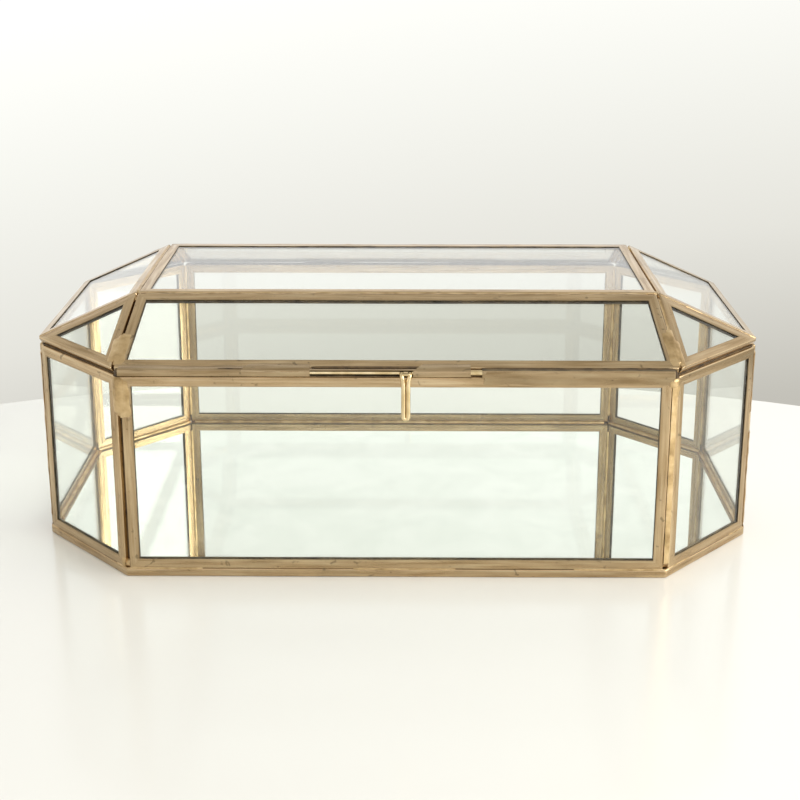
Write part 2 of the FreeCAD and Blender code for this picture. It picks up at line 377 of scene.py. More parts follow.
def trayOctagon(z, outset=0.0):
    # inner faces of the eight walls, from the front panel's left end
    a = frontHigh.x
    b = -frontHigh.y
    c = rightLow.x
    d = rightHigh.y
    slip = outset * math.tan(math.radians(22.5))
    quarter = [Vector((a + slip, -b - outset, z)), Vector((c + outset, -d - slip, z)),
               Vector((c + outset, d + slip, z)), Vector((a + slip, b + outset, z))]
    turned = [Vector((-p.x, -p.y, p.z)) for p in quarter]
    return [turned[3]] + quarter + turned[:3]


def lowestEdge(nodeName):
    # the two lowest corners of a sloping lid frame, which are its inner foot
    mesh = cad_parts[nodeName].data
    low = min(v.co.z for v in mesh.vertices)
    found = [v.co.copy() for v in mesh.vertices if v.co.z < low + 0.01 * mm]
    middle = sum(found, Vector()) / len(found)
    along = Vector((-middle.y, middle.x, 0))
    found.sort(key=lambda p: p.dot(along))
    return [found[0], found[-1]]


def lidOctagon():
    points = []
    for name in ("front", "right", "back", "left"):
        points += lowestEdge("lid_frame_" + name)
    return points


topLow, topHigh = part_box("lid_frame_top")
quarters = ((-1, -1), (1, -1), (1, 1), (-1, 1))
topCorners = [Vector((sx * topHigh.x, sy * topHigh.y, topLow.z)) for sx, sy in quarters]
footRing = trayOctagon(floorTop)
rimRing = trayOctagon(rimTop)
lidRing = lidOctagon()

wallPanels = {}
lidPanels = {"top": topCorners}
for i, name in enumerate(sideNames):
    j = (i + 1) % 8
    wallPanels[name] = [footRing[i], footRing[j], rimRing[j], rimRing[i]]
    upper = [topCorners[(i + 2) // 2 % 4]]      # a corner triangle has one upper point
    if i % 2 == 0:
        upper.append(topCorners[i // 2])
    lidPanels[name] = [lidRing[i], lidRing[j]] + upper


# channel frames

channelBars = {
    "flange": 3.5 * mm,          # width of brass seen round a pane
    "floorFlange": 4.2 * mm,
    "sheet": 0.3 * mm,
    "bend": 0.55 * mm,           # outer radius where the sheet is folded
    "waviness": 0.10 * mm,       # slow unevenness of bars bent and filed by hand
    "waveLength": 38 * mm,
    "dents": 0.03 * mm,
    "dentLength": 6 * mm,
    "longEdge": 14 * mm,         # an edge longer than this is cut to carry the unevenness
    "cuts": 11,
}


def barMarks(bm, corners, outward, seed):
    # each face belongs to its nearest bar, so that the rubbing marks turn at the mitres
    layer = bm.loops.layers.uv.get("barRun") or bm.loops.layers.uv.new("barRun")
    bars = []
    for k, corner in enumerate(corners):
        along = (corners[(k + 1) % len(corners)] - corner).normalized()
        middle = sum(corners, Vector()) / len(corners)
        inward = outward.cross(along)
        bars.append((corner, along, inward if inward.dot(middle - corner) > 0 else -inward))
    for face in bm.faces:
        centre = face.calc_center_median()
        k = min(range(len(bars)), key=lambda n: (centre - bars[n][0]).dot(bars[n][2]))
        corner, along, inward = bars[k]
        for loop in face.loops:
            offset = loop.vert.co - corner
            across = offset.dot(inward) + abs(offset.dot(outward))
            loop[layer].uv = (offset.dot(along) + seed * 0.31 + k * 0.17, across)


def channelFrame(name, corners, depth, width, body, node, seed):
    # brass sheet folded to a U round a pane and mitred at the corners
    bars = channelBars
    outward = outwardNormal(corners)
    bm = bmesh.new()
    start = bm.faces.new([bm.verts.new(c) for c in corners])
    grown = bmesh.ops.extrude_face_region(bm, geom=[start])
    bmesh.ops.translate(bm, verts=movedVerts(grown), vec=outward * depth)
    bmesh.ops.recalc_face_normals(bm, faces=bm.faces[:])
    caps = [f for f in bm.faces if abs(f.normal.dot(outward)) > 0.99]
    for cap in caps:
        bmesh.ops.inset_region(bm, faces=[cap], thickness=width, use_even_offset=True, use_boundary=True)
    bmesh.ops.delete(bm, geom=caps, context="FACES")

    # folds along the outside and at the mitres
    folds = [e for e in bm.edges if len(e.link_faces) == 2 and e.calc_face_angle() > 0.3]
    bmesh.ops.bevel(bm, geom=folds, affect="EDGES", offset=bars["bend"], segments=4, profile=0.5,
                    material=-1)
    longEdges = [e for e in bm.edges if e.calc_length() > bars["longEdge"]]
    bmesh.ops.subdivide_edges(bm, edges=longEdges, cuts=bars["cuts"], use_grid_fill=True)
    barMarks(bm, corners, outward, seed)
    for vert in bm.verts:
        wave = noise.noise_vector(vert.co / bars["waveLength"] + Vector((seed, 0, 0)))
        vert.co += wave * bars["waviness"]
        dent = noise.noise_vector(vert.co / bars["dentLength"] + Vector((0, seed, 0)))
        vert.co += dent * bars["dents"]

    # the sheet's thickness, with the unrubbed inside in its own material
    outer = bm.faces[:]
    bmesh.ops.solidify(bm, geom=outer, thickness=bars["sheet"])
    outerSet = set(outer)
    for face in bm.faces:
        # painted shade: the top of the back rim, under the hinged edge, gets the dark inside material
        atRim = abs(face.calc_center_median().z - rimTop) < 0.4 * mm
        backRimTopShade = atRim and face.normal.z > 0.8 and "Channel_back" in name
        face.material_index = 1 if backRimTopShade or face not in outerSet else 0
    return finishMesh(bm, name, [brass, inside], body, [node])


seed = 1
for name in sideNames:
    channelFrame("wallChannel_" + name, wallPanels[name], channel, channelBars["flange"], "tray",
                 "wall_frame_" + name, seed)
    channelFrame("lidChannel_" + name, lidPanels[name], channel, channelBars["flange"], "lid",
                 "lid_frame_" + name, seed + 20)
    seed += 1
channelFrame("lidChannel_top", lidPanels["top"], channel, channelBars["flange"], "lid",
             "lid_frame_top", 41)
channelFrame("floorChannel", trayOctagon(floorTop, channel), floorTop, channelBars["floorFlange"], "tray",
             "mirror_frame", 47)
print("channel frames made")


# panes and mirror keep their CAD shape

for nodeName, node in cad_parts.items():
    if "_glass_" in nodeName:
        node.data.materials.clear()
        node.data.materials.append(glass)
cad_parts["mirror_plate"].data.materials.clear()
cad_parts["mirror_plate"].data.materials.append(mirror)
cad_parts["mirror_backing"].data.materials.clear()
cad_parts["mirror_backing"].data.materials.append(paint)
print("panes and mirror finished")


# solder

solderRun = {
    "full": 0.96,               # how far a good run fills its groove
    "spill": 0.30,              # radians past both folds where a run was laid thick
    "spillFull": 1.06,
    "frontFull": 1.07,          # the front uprights stand a little proud, because the lid rests on them
    "root": 0.36,               # what is left where it ran dry
    "step": 1.6 * mm,           # length between the points that carry the lumps
    "endLength": 1.2 * mm,      # a run thins out over this at both ends
    "lump": 0.20 * mm,
    "lumpLength": 4.5 * mm,
    "footBead": 0.9 * mm,       # bead along the foot of the walls, inside
    "inner": 0.7 * mm,          # thin film that came through to the inside of the corners
}


def solderSeam(whole, line, normals, reach, seed, materialIndex, lump, spill=0.0):
    # solder along a line: a fan from the first side to the second, with lumps and rounded ends
    start, end = line
    along = end - start
    cuts = max(3, int(along.length / solderRun["step"]))
    axis = normals[0].cross(normals[1]).normalized()
    sweep = normals[0].angle(normals[1]) + 2 * spill
    rim = []
    for k in range(7):
        side = Quaternion(axis, sweep * k / 6 - spill) @ normals[0].normalized()
        rim.append(start + side * reach * (1 - (0 if spill else 0.05) * math.sin(math.pi * k / 6)))
    bm = bmesh.new()
    section = [bm.faces.new([bm.verts.new(p) for p in [start] + rim])]
    for step in range(cuts):
        grown = bmesh.ops.extrude_face_region(bm, geom=section)
        section = madeFaces(grown)
        bmesh.ops.translate(bm, verts=movedVerts(grown), vec=along / cuts)
    bmesh.ops.recalc_face_normals(bm, faces=bm.faces[:])
    for vert in bm.verts:
        t = (vert.co - start).dot(along) / along.length_squared
        out = vert.co - start - along * t
        if out.length > reach * 0.1:
            swell = noise.noise(vert.co / solderRun["lumpLength"] + Vector((seed, 0, 0)))
            endFade = min(1, min(t, 1 - t) * along.length / solderRun["endLength"])
            vert.co += out.normalized() * (swell - 0.25) * lump - out * (1 - endFade) * 0.3
    for face in bm.faces:
        face.material_index = materialIndex
    run = bpy.data.meshes.new("run")
    bm.to_mesh(run)
    bm.free()
    whole.from_mesh(run)
    bpy.data.meshes.remove(run)


def seamPiece(name, seams, body, stands, lump=solderRun["lump"]):
    # seams: (start, end, first side, second side, reach, runs); a dark root all along, solder where it ran,
    # and a third value in a run means that it was laid thick
    bm = bmesh.new()
    for number, (start, end, sideA, sideB, reach, runs) in enumerate(seams):
        line = (start.lerp(end, 0.01), start.lerp(end, 0.99))
        solderSeam(bm, line, (sideA, sideB), reach * solderRun["root"], number * 1.7, 1, 0)
        for first, last, *thick in runs:
            line = (start.lerp(end, first), start.lerp(end, last))
            full = solderRun["spillFull"] if thick else solderRun["full"]
            spill = solderRun["spill"] if thick else 0.0
            solderSeam(bm, line, (sideA, sideB), reach * full, number * 2.3, 0, lump, spill)
    return finishMesh(bm, name, [solder, darkFluxShade], body, stands, 60)


def intoPanel(panel, start, end):
    # unit direction in a panel's plane, square to one of its edges
    along = (end - start).normalized()
    direction = along.cross(outwardNormal(panel))
    middle = sum(panel, Vector()) / len(panel)
    return direction if direction.dot(middle - start) > 0 else -direction


# where the solder ran on each upright, as fractions of its height
uprightRuns = {
    "front_right": [(0.01, 1.0), (0.93, 1.0, 1)],
    "right_front": [(0.0, 0.55), (0.62, 0.98)],
    "right_back": [(0.03, 0.97)],
    "back_right": [(0.0, 0.97)],
    "back_left": [(0.02, 0.48), (0.6, 0.97)],
    "left_back": [(0.0, 0.97)],
    "left_front": [(0.04, 0.97)],
    "front_left": [(0.0, 0.04), (0.79, 1.0, 1)],
}
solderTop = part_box("wall_solder")[1].z      # the front corners carry the lid
wallSeams = []
for i, corner in enumerate(uprightRuns):
    panel = wallPanels[sideNames[i]]
    sides = [outwardNormal(wallPanels[sideNames[n % 8]]) for n in (i, i + 1)]
    end = panel[2].copy()
    if panel[2].y < 0:
        end.z = solderTop
    reach = channel * (solderRun["frontFull"] if panel[2].y < 0 else 1.0)
    wallSeams.append((panel[1], end, *sides, reach, uprightRuns[corner]))
    films = [intoPanel(wallPanels[sideNames[n % 8]], panel[1], panel[2]) for n in (i, i + 1)]
    wallSeams.append((panel[1], panel[2], *films, solderRun["inner"], [(0.05, 0.99)]))
seamPiece("uprightSolder", wallSeams, "tray", ["wall_solder"])

# the same for the lid's ridges, from the front right one round, and for its four top edges
ridgeRuns = [[(0.03, 0.97), (0.03, 0.55, 1)], [(0.03, 0.6), (0.68, 0.95)], [(0.02, 0.95)], [(0.04, 0.96)],
             [(0.02, 0.95)], [(0.04, 0.95)], [(0.02, 0.95)], [(0.055, 0.46, 1), (0.93, 0.98)]]
topRuns = [[(0.012, 0.988)], [(0.02, 0.06), (0.94, 0.98)], [(0.015, 0.985)], [(0.02, 0.98)]]
lidSeams = []
for i, name in enumerate(sideNames):
    j = (i + 1) % 8
    start, end = lidRing[j], topCorners[(i + 2) // 2 % 4]
    panels = [lidPanels[sideNames[n]] for n in (i, j)]
    sides = [outwardNormal(panel) for panel in panels]
    lidSeams.append((start, end, *sides, channel, ridgeRuns[i]))
    films = [intoPanel(panel, start, end) for panel in panels]
    lidSeams.append((start, end, *films, solderRun["inner"], [(0.04, 0.97)]))
for k in range(4):
    start, end = topCorners[k], topCorners[(k + 1) % 4]
    panels = [lidPanels["top"], lidPanels[sideNames[2 * k]]]
    sides = [outwardNormal(panel) for panel in panels]
    lidSeams.append((start, end, *sides, channel, topRuns[k]))
    films = [intoPanel(panel, start, end) for panel in panels]
    lidSeams.append((start, end, *films, solderRun["inner"], [(0.01, 0.99)]))
seamPiece("ridgeSolder", lidSeams, "lid", ["lid_solder"])

footSeams = []
for i in range(8):
    inward = -outwardNormal(wallPanels[sideNames[i]])
    start, end = footRing[i], footRing[(i + 1) % 8]
    footSeams.append((start, end, inward, Vector((0, 0, 1)), solderRun["footBead"], [(0.01, 0.99)]))
seamPiece("footSolder", footSeams, "tray", ["floor_solder"], 0.35 * mm)

# painted shade: a dark strip in the flux material on the rim, where the lid closes, standing in for the
# shade in the parting gap
rimShadeFill = {
    "setBack": 1.25 * mm,       # in from the walls' outer face, where the lid's foot stands
    "overlap": 0.2 * mm,
    "reach": 1.1 * mm,
    "backReach": 1.42 * mm,     # fuller at the back, so that no light shows under the hinged edge
    "cornerOut": 1.5 * mm,
    "dropSize": 1.15 * mm,
    "dropShape": (1.5, 1.0, 0.42),
}

rimShadeRing = trayOctagon(rimTop, channel - rimShadeFill["setBack"])
rimShadeSeams = []
for i in range(8):
    start, end = rimShadeRing[i], rimShadeRing[(i + 1) % 8]
    lap = (end - start).normalized() * rimShadeFill["overlap"]
    out = outwardNormal(wallPanels[sideNames[i]])
    reach = rimShadeFill["backReach"] if "back" in sideNames[i] else rimShadeFill["reach"]
    rimShadeSeams.append((start - lap, end + lap, out, Vector((0, 0, 1)) - out * 0.8, reach, []))
seamPiece("rimShadeStrip", rimShadeSeams, "tray", [])

# painted shade: dark drops in the flux material at the two front corners of the rim, hidden under the lid
bm = bmesh.new()
for corner in trayOctagon(rimTop, rimShadeFill["cornerOut"])[:2]:
    drop = Matrix.Translation(corner) @ Matrix.Diagonal((*rimShadeFill["dropShape"], 1))
    bmesh.ops.create_uvsphere(bm, u_segments=24, v_segments=12, radius=rimShadeFill["dropSize"], matrix=drop)
for vert in bm.verts:
    vert.co += noise.noise_vector(vert.co / (1.4 * mm)) * 0.12 * mm
finishMesh(bm, "cornerShadeDrops", [darkFluxShade], "tray", smoothAngle=60)


wipedPad = {"crown": 0.26 * mm, "lumps": 0.12 * mm, "sunk": 0.06 * mm, "sheet": 0.2 * mm}


def solderPads(name, pads, body):
    # solder wiped out thin over a flange: pads are (panel, start, end, first, last, width) beside an edge
    bm = bmesh.new()
    for panel, start, end, first, last, width in pads:
        along, across, out = end - start, intoPanel(panel, start, end), outwardNormal(panel)
        made = bmesh.ops.create_grid(bm, x_segments=10, y_segments=20, size=1)
        for vert in made["verts"]:
            u, v = vert.co.x, vert.co.y
            ragged = 1 + 0.25 * noise.noise(Vector((v * 2.2, width * 900, 0)))
            swell = noise.noise(Vector((u * 1.1, v * 3.1, along.x * 50)))
            crown = wipedPad["crown"] + wipedPad["lumps"] * swell
            rise = (1 - abs(u) ** 3) * (1 - abs(v) ** 5) * crown - wipedPad["sunk"]
            vert.co = (start + along * (first + (last - first) * (v + 1) / 2)
                       + across * width * ((u + 1) / 2 * ragged - 0.12) + out * (channel + rise))
    bmesh.ops.recalc_face_normals(bm, faces=bm.faces[:])
    for face in bm.faces:
        if face.normal.dot(face.calc_center_median() - Vector((0, 0, 0.04))) < 0:
            face.normal_flip()
    bmesh.ops.solidify(bm, geom=bm.faces[:], thickness=wipedPad["sheet"])
    return finishMesh(bm, name, [solder], body, smoothAngle=60)


solderPads("uprightPads", [
    (wallPanels["front"], footRing[0], rimRing[0], 0.79, 0.985, 3.4 * mm),
    (wallPanels["front_left"], footRing[0], rimRing[0], 0.83, 0.985, 1.8 * mm),
    (wallPanels["front_right"], footRing[1], rimRing[1], 0.90, 0.99, 1.5 * mm),
    (wallPanels["front_left"], footRing[0], rimRing[0], 0.0, 0.05, 2.0 * mm)], "tray")
solderPads("ridgePads", [
    (lidPanels["front"], lidRing[0], topCorners[0], 0.03, 0.44, 3.3 * mm),
    (lidPanels["front_left"], lidRing[0], topCorners[0], 0.07, 0.40, 2.6 * mm),
    (lidPanels["front"], lidRing[1], topCorners[1], 0.03, 0.48, 2.7 * mm),
    (lidPanels["front_right"], lidRing[1], topCorners[1], 0.03, 0.38, 2.2 * mm)], "lid")

# smears that bridge the joint between the walls and the floor channel
baseRuns = {
    "front": [(0.0, 0.14), (0.42, 0.61), (0.83, 1.0)],
    "front_right": [(0.0, 0.3), (0.8, 1.0)],
    "right": [(0.0, 0.1), (0.7, 1.0)],
    "back_right": [(0.1, 0.5), (0.85, 1.0)],
    "back": [(0.0, 0.08), (0.3, 0.45), (0.8, 0.97)],
    "back_left": [(0.0, 0.2), (0.6, 0.9)],
    "left": [(0.2, 0.6), (0.9, 1.0)],
    "front_left": [(0.0, 0.1), (0.88, 1.0)],
}
baseRing = trayOctagon(floorTop, channel - 0.45 * mm)
baseSeams = []
for i, name in enumerate(sideNames):
    out = outwardNormal(wallPanels[name])
    sides = (out * 0.8 + Vector((0, 0, 0.6)), out * 0.8 - Vector((0, 0, 0.6)))
    baseSeams.append((baseRing[i], baseRing[(i + 1) % 8], *sides, 0.55 * mm, baseRuns[name]))
seamPiece("baseSolder", baseSeams, "tray", [], 0.12 * mm)
print("solder run")


# latch

guideLow, guideHigh = [Vector(p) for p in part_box("guide_strip")]
keeperLow, keeperHigh = [Vector(p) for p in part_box("keeper_strip")]
boltLow, boltHigh = [Vector(p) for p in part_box("latch_bolt")]
tabLow, tabHigh = [Vector(p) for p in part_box("thumb_tab")]

latchWork = {
    "corner": 0.38 * mm,         # rounding of the folded tubes
    "sheet": 0.2 * mm,
    "waviness": 0.04 * mm,       # less than the bolt's clearance, so that it slides free
    "window": (-28 * mm, 5.6 * mm),
    "skinStart": -50.5 * mm,     # from here to the window the solder was drawn up over the guide
    "plug": 1.1 * mm,            # the flux at the corner end of each tube
    "plugShape": (0.75, 1.05, 1.2),
    "hairpinWire": 1.52 * mm,    # thickness of the tab's wire
    "flare": 0.55 * mm,          # how far the hairpin's legs part at the top
    "tabDrop": 0.6 * mm,
    "endReach": 1.5 * mm,        # the tubes run on into the solder of the corners
}


def foldedTube(name, low, high, node, body, window=None):
    # sheet folded to a square tube, with rounded corners and a window cut in its front
    bm = bmesh.new()
    size = high - low
    place = Matrix.Translation((low + high) / 2) @ Matrix.Diagonal((*size, 1))
    bmesh.ops.create_cube(bm, size=1, matrix=place)
    ends = [f for f in bm.faces if abs(f.normal.x) > 0.9]
    bmesh.ops.delete(bm, geom=ends, context="FACES_ONLY")
    folds = [e for e in bm.edges if len(e.link_faces) == 2]
    bmesh.ops.bevel(bm, geom=folds, affect="EDGES", offset=latchWork["corner"], segments=3, profile=0.5,
                    material=-1)
    runs = [low.x + size.x * k / 24 for k in range(1, 24)] + list(window or ())
    for x in runs:
        everything = bm.verts[:] + bm.edges[:] + bm.faces[:]
        bmesh.ops.bisect_plane(bm, geom=everything, plane_co=(x, 0, 0), plane_no=(1, 0, 0))
    if window:
        frontFaces = [f for f in bm.faces if f.normal.y < -0.9]
        cut = [f for f in frontFaces if window[0] < f.calc_center_median().x < window[1]]
        bmesh.ops.delete(bm, geom=cut, context="FACES")
    rubAlong(bm, Vector((1, 0, 0)), 5 * mm)
    for vert in bm.verts:
        vert.co += noise.noise_vector(vert.co / (20 * mm)) * latchWork["waviness"]
    outer = bm.faces[:]
    bmesh.ops.solidify(bm, geom=outer, thickness=latchWork["sheet"])
    outerSet = set(outer)
    for face in bm.faces:
        # painted shade: on the keeper, the top faces under the lid get the dark inside material
        keeperTopShade = face.normal.z > 0.8 and body == "tray"
        face.material_index = 1 if keeperTopShade or face not in outerSet else 0
    return finishMesh(bm, name, [brass, inside], body, [node])


cornerReach = Vector((latchWork["endReach"], 0, 0))
foldedTube("guideTube", guideLow - cornerReach, guideHigh, "guide_strip", "lid", latchWork["window"])
foldedTube("keeperTube", keeperLow, keeperHigh + cornerReach, "keeper_strip", "tray")


def endPlug(name, x, low, high, body):
    # brown flux that closes the corner end of a tube
    bm = bmesh.new()
    centre = Vector((x, (low.y + high.y) / 2, (low.z + high.z) / 2))
    drop = Matrix.Translation(centre) @ Matrix.Diagonal((*latchWork["plugShape"], 1))
    bmesh.ops.create_uvsphere(bm, u_segments=24, v_segments=12, radius=latchWork["plug"], matrix=drop)
    for vert in bm.verts:
        vert.co += noise.noise_vector(vert.co / (1.2 * mm)) * 0.15 * mm
    finishMesh(bm, name, [darkFluxShade], body, smoothAngle=60)


endPlug("guideEndPlug", guideLow.x - 1.15 * latchWork["endReach"], guideLow, guideHigh, "lid")
endPlug("keeperEndPlug", keeperHigh.x + 1.1 * latchWork["endReach"], keeperLow, keeperHigh, "tray")


def wireRun(bm, path, radius, segments=20):
    # round wire led along a path, with its ends rounded over
    last = len(path) - 1
    tangents = [(path[min(k + 1, last)] - path[max(k - 1, 0)]).normalized() for k in range(len(path))]
    turn = Vector((0, 0, 1)).rotation_difference(tangents[0]).to_matrix().to_4x4()
    place = Matrix.Translation(path[0]) @ turn
    firstRing = bmesh.ops.create_circle(bm, segments=segments, radius=radius, matrix=place)["verts"]
    edges = list({e for v in firstRing for e in v.link_edges})
    for k in range(1, len(path)):
        grown = bmesh.ops.extrude_edge_only(bm, edges=edges)
        verts = movedVerts(grown)
        edges = [e for e in grown["geom"] if isinstance(e, bmesh.types.BMEdge)]
        bend = tangents[k - 1].rotation_difference(tangents[k]).to_matrix()
        for vert in verts:
            vert.co = path[k] + bend @ (vert.co - path[k - 1])
    for verts, centre, out in ((firstRing, path[0], -tangents[0]), (verts, path[-1], tangents[-1])):
        rim = list({e for v in verts for e in v.link_edges if all(w in verts for w in e.verts)})
        for size, lift in ((0.78, 0.45), (0.45, 0.3)):
            grown = bmesh.ops.extrude_edge_only(bm, edges=rim)
            rim = [e for e in grown["geom"] if isinstance(e, bmesh.types.BMEdge)]
            for vert in movedVerts(grown):
                vert.co = centre + (vert.co - centre) * size + out * radius * lift
            centre = centre + out * radius * lift
        bmesh.ops.contextual_create(bm, geom=rim)


boltRadius = (boltHigh.z - boltLow.z) / 2
boltLine = (boltLow + boltHigh) / 2
boltStart = boltLow.x + boltRadius
boltRun = boltHigh.x - boltLow.x - 2 * boltRadius
boltPath = [Vector((boltStart + boltRun * k / 20, boltLine.y, boltLine.z)) for k in range(21)]
bm = bmesh.new()
wireRun(bm, boltPath, boltRadius)
bmesh.ops.recalc_face_normals(bm, faces=bm.faces[:])
finishMesh(bm, "boltWire", [wire], "latch", ["latch_bolt"])

# hairpin: two legs of one wire, touching, parted and brazed to the bolt at the top
tabMiddle = (tabLow.x + tabHigh.x) / 2
legRadius = latchWork["hairpinWire"] / 2
legFront = tabLow.y + legRadius + 0.05 * mm
legFoot = tabLow.z - latchWork["tabDrop"] + 2 * legRadius
legTop = boltLine.z - 0.45 * mm
rightLeg = []
for k in range(17):
    t = k / 16
    z = legTop + (legFoot - legTop) * t
    spread = legRadius + latchWork["flare"] * max(0, 1 - t / 0.28) ** 2
    rightLeg.append(Vector((spread, legFront + 0.25 * mm * max(0, 1 - t / 0.15) ** 2, z)))
hook = [Vector((legRadius + latchWork["flare"] * 1.12, legFront + 1.5 * mm, legTop + 0.42 * mm)),
        Vector((legRadius + latchWork["flare"] * 1.08, legFront + 0.8 * mm, legTop + 0.38 * mm))]
turnPoints = [Vector((legRadius * math.cos(a), legFront, legFoot - legRadius * math.sin(a)))
              for a in [math.pi * k / 8 for k in range(1, 8)]]
rightSide = hook + rightLeg
hairpin = rightSide + turnPoints + [Vector((-p.x, p.y, p.z)) for p in reversed(rightSide)]
hairpin = [p + Vector((tabMiddle, 0, 0)) for p in hairpin]
bm = bmesh.new()
wireRun(bm, hairpin, legRadius, 16)
blob = Matrix.Translation((tabMiddle, legFront + 0.25 * mm, legTop + 0.42 * mm))
blob = blob @ Matrix.Diagonal((1.95, 0.8, 0.46, 1))
bmesh.ops.create_uvsphere(bm, u_segments=24, v_segments=12, radius=1 * mm, matrix=blob)
bmesh.ops.recalc_face_normals(bm, faces=bm.faces[:])
finishMesh(bm, "hairpinTab", [wire], "latch", ["thumb_tab"], 60)

# solder that carries the guide on the lid, and the skins drawn over the joints of guide and keeper
slope = outwardNormal(lidPanels["front"])
flangeFoot = lidRing[0] + slope * channel


def drawnSkin(name, startX, endX, profile, cuts, slant, seed):
    # a skin of metal over a profile (y, z), drawn along X; its left end slants by slant over the profile
    bm = bmesh.new()
    last = len(profile) - 1
    points = [bm.verts.new((startX + slant * (k / last) ** 2, y, z)) for k, (y, z) in enumerate(profile)]
    edges = [bm.edges.new(pair) for pair in zip(points, points[1:])]
    for step in range(cuts):
        grown = bmesh.ops.extrude_edge_only(bm, edges=edges)
        edges = [e for e in grown["geom"] if isinstance(e, bmesh.types.BMEdge)]
        for vert in movedVerts(grown):
            vert.co.x += (endX - vert.co.x) / (cuts - step)
    for vert in bm.verts:
        vert.co += noise.noise_vector(vert.co / (5 * mm) + Vector((seed, 0, 0))) * 0.14 * mm
    bmesh.ops.recalc_face_normals(bm, faces=bm.faces[:])
    if sum((f.normal.y for f in bm.faces)) > 0:
        bmesh.ops.reverse_faces(bm, faces=bm.faces[:])
    rubAlong(bm, Vector((1, 0, 0)), 3 * mm)
    bmesh.ops.solidify(bm, geom=bm.faces[:], thickness=0.25 * mm)
    return bm


def onFlange(up, proud=0.0):
    # a point (y, z) on the face of the lid's front flange, up from its foot
    point = flangeFoot + Vector((0, slope.z, -slope.y)) * up + slope * proud
    return (point.y, point.z)


front = guideLow.y
# painted shade: a dark strip in the flux material fills the unsoldered gap between the guide's top and the
# lid's flange, along the window
gapStart = Vector((latchWork["window"][0], guideHigh.y, guideHigh.z - 0.05 * mm))
gapEnd = Vector((latchWork["window"][1] + 4 * mm, guideHigh.y, guideHigh.z - 0.05 * mm))
gap = [(gapStart, gapEnd, Vector((0, -1, 0.2)), Vector((0, 0.2, 1)), 1.5 * mm, [])]
seamPiece("guideGapShade", gap, "lid", [])
fillet = [(front - 0.02 * mm, guideHigh.z - 0.5 * mm), (front + 0.3 * mm, guideHigh.z + 0.02 * mm),
          (front + 1.4 * mm, guideHigh.z + 0.12 * mm), onFlange(0.3 * mm, 0.12 * mm),
          onFlange(1.2 * mm, -0.03 * mm)]
bm = drawnSkin("guideFillet", guideLow.x - cornerReach.x, latchWork["window"][0], fillet, 40, 0, 3)
finishMesh(bm, "guideFillet", [brass], "lid", ["guide_solder"], 60)
skin = [(front - 0.12 * mm, guideLow.z + 0.1 * mm), (front - 0.2 * mm, guideLow.z + 1.2 * mm),
        (front - 0.05 * mm, guideHigh.z - 0.1 * mm), (front + 0.9 * mm, guideHigh.z + 0.45 * mm),
        onFlange(0.6 * mm, 0.3 * mm), onFlange(2.0 * mm, 0.0)]
bm = drawnSkin("guideSkin", latchWork["window"][1], guideHigh.x, skin, 16, 3.6 * mm, 5)
finishMesh(bm, "guideSkin", [brass], "lid", smoothAngle=60)
lowSkin = [(front - 0.02 * mm, guideHigh.z - 0.7 * mm), (front - 0.04 * mm, guideHigh.z - 0.2 * mm)]
upperSkin = lowSkin + skin[3:]
bm = drawnSkin("guideSkinLeft", latchWork["skinStart"], latchWork["window"][0], upperSkin, 24, 3.2 * mm, 9)
finishMesh(bm, "guideSkinLeft", [brass], "lid", smoothAngle=60)
# a short dark strip in the flux material where the guide's top meets the lid's flange, at the start of the
# left skin
darkLineEnd = Vector((latchWork["skinStart"] + 1.5 * mm, front + 0.75 * mm, guideHigh.z - 0.1 * mm))
darkLineStart = darkLineEnd - Vector((9 * mm, 0, 0))
darkLine = [(darkLineStart, darkLineEnd, Vector((0, -1, 0.3)), Vector((0, 0.2, 1)), 1.35 * mm, [])]
seamPiece("guideDarkLine", darkLine, "lid", [])
# painted shade: a dark strip in the flux material along the keeper's top back edge, under the lid's flange,
# for the parting line
root = Vector((keeperLow.x, keeperHigh.y - 0.3 * mm, keeperHigh.z - 0.05 * mm))
tip = Vector((keeperHigh.x + cornerReach.x, root.y, root.z))
line = [(root, tip, Vector((0, -1, 0.05)), Vector((0, 0, 1)), 1.2 * mm, [])]
seamPiece("keeperPartingShade", line, "tray", [])
proud = keeperLow.y - 0.1 * mm
skin = [(frontLow.y + 0.02 * mm, keeperLow.z - 2.7 * mm), (frontLow.y - 0.16 * mm, keeperLow.z - 2.0 * mm),
        (frontLow.y - 0.5 * mm, keeperLow.z - 1.1 * mm), (proud + 0.12 * mm, keeperLow.z + 0.1 * mm),
        (proud, keeperLow.z + 1.0 * mm), (proud + 0.02 * mm, keeperHigh.z - 0.45 * mm)]
bm = drawnSkin("keeperSkin", keeperLow.x + 0.5 * mm, keeperHigh.x + 1.2 * mm, skin, 48, 0.8 * mm, 7)
finishMesh(bm, "keeperSkin", [brass], "tray", smoothAngle=60)
print("latch made")


# hinge

hingeWork = {
    "knuckle": 1.3 * mm,         # outer radius
    "pin": 0.65 * mm,
    "leaf": 0.45 * mm,
    "leafCorner": 0.8 * mm,
    "trayLeafReach": 5.6 * mm,
    "lidLeafReach": 3.4 * mm,    # past the lid's foot
}
pinLow, pinHigh = [Vector(p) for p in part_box("hinge_pin")]
pinLine = (pinLow + pinHigh) / 2


